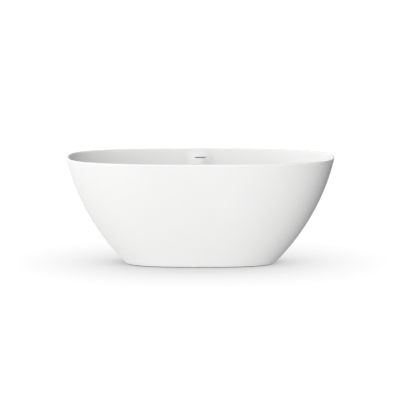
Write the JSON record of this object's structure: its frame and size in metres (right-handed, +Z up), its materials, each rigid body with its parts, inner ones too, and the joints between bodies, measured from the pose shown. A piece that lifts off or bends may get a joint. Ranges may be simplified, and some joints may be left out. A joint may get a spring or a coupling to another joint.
{
  "type": "freestanding bathtub",
  "caption": "Oval double-walled freestanding bathtub with a thin flared rim, overflow slot, pop-up waste, hidden trap and a cradle on levelling feet.",
  "frame": {"origin": "on the floor under the middle of the tub, the centre of the bottom of its bounding box", "axes": "+X along the tub, +Y towards the side with the overflow slot, +Z up"},
  "size_m": [1.5, 0.72, 0.6],
  "materials": {
    "solid_surface": "satin",
    "plywood": "matte",
    "zinc_steel": "satin",
    "black_rubber": "matte",
    "chrome_plate": "polished",
    "brass": "satin",
    "white_plastic": "satin",
    "grey_plastic": "matte",
    "hose_plastic": "satin"
  },
  "bodies": {
    "tub": {"base_board": "plywood", "basin": "solid_surface", "block_screws": "zinc_steel", "board_screws": "zinc_steel", "dip_tube": "white_plastic", "flange_seal": "black_rubber", "latch_housing": "grey_plastic", "latch_spring": "zinc_steel", "leg_bar_left": "zinc_steel", "leg_bar_right": "zinc_steel", "lock_nuts": "zinc_steel", "lower_hose_clip": "zinc_steel", "outlet_elbow": "white_plastic", "outlet_nut": "white_plastic", "outlet_seal": "black_rubber", "overflow_box": "white_plastic", "overflow_hose": "hose_plastic", "overflow_seal": "black_rubber", "rim_bond": "solid_surface", "skirt": "solid_surface", "skirt_block_back_left": "plywood", "skirt_block_back_right": "plywood", "skirt_block_front_left": "plywood", "skirt_block_front_right": "plywood", "trap_body": "white_plastic", "trap_lid": "white_plastic", "union_nut": "white_plastic", "union_seal": "black_rubber", "upper_hose_clip": "zinc_steel", "waste_body": "white_plastic", "waste_body_seal": "black_rubber", "waste_flange": "chrome_plate", "weld_nuts": "zinc_steel"},
    "plug": {"plug_cap": "chrome_plate", "plug_stem": "brass", "plug_seal": "black_rubber"},
    "foot_front_left": {"foot_pad_front_left": "black_rubber"},
    "stud_front_left": {"foot_stud_front_left": "zinc_steel"},
    "foot_front_right": {"foot_pad_front_right": "black_rubber"},
    "stud_front_right": {"foot_stud_front_right": "zinc_steel"},
    "foot_back_left": {"foot_pad_back_left": "black_rubber"},
    "stud_back_left": {"foot_stud_back_left": "zinc_steel"},
    "foot_back_right": {"foot_pad_back_right": "black_rubber"},
    "stud_back_right": {"foot_stud_back_right": "zinc_steel"}
  },
  "joints": [
    {"name": "plug_lift", "type": "slide", "parent": "tub", "child": "plug", "axis": [0, 0, 1], "range_m": [0, 0.008], "deforming": ["latch_spring"]},
    {"name": "foot_slide_front_left", "type": "slide", "parent": "tub", "child": "foot_front_left", "axis": [0, 0, -1], "range_m": [0, 0.015]},
    {"name": "stud_turn_front_left", "type": "hinge", "parent": "foot_front_left", "child": "stud_front_left", "pos_m": [-0.26, -0.12, 0.03], "axis": [0, 0, -1], "range_deg": [0, 3105]},
    {"name": "foot_slide_front_right", "type": "slide", "parent": "tub", "child": "foot_front_right", "axis": [0, 0, -1], "range_m": [0, 0.015]},
    {"name": "stud_turn_front_right", "type": "hinge", "parent": "foot_front_right", "child": "stud_front_right", "pos_m": [0.26, -0.12, 0.03], "axis": [0, 0, -1], "range_deg": [0, 3105]},
    {"name": "foot_slide_back_left", "type": "slide", "parent": "tub", "child": "foot_back_left", "axis": [0, 0, -1], "range_m": [0, 0.015]},
    {"name": "stud_turn_back_left", "type": "hinge", "parent": "foot_back_left", "child": "stud_back_left", "pos_m": [-0.26, 0.12, 0.03], "axis": [0, 0, -1], "range_deg": [0, 3105]},
    {"name": "foot_slide_back_right", "type": "slide", "parent": "tub", "child": "foot_back_right", "axis": [0, 0, -1], "range_m": [0, 0.015]},
    {"name": "stud_turn_back_right", "type": "hinge", "parent": "foot_back_right", "child": "stud_back_right", "pos_m": [0.26, 0.12, 0.03], "axis": [0, 0, -1], "range_deg": [0, 3105]}
  ],
  "couplings": [
    {"joint": "stud_turn_front_left", "follows": "foot_slide_front_left", "rad_per_m": 3590.4},
    {"joint": "stud_turn_front_right", "follows": "foot_slide_front_right", "rad_per_m": 3590.4},
    {"joint": "stud_turn_back_left", "follows": "foot_slide_back_left", "rad_per_m": 3590.4},
    {"joint": "stud_turn_back_right", "follows": "foot_slide_back_right", "rad_per_m": 3590.4}
  ]
}
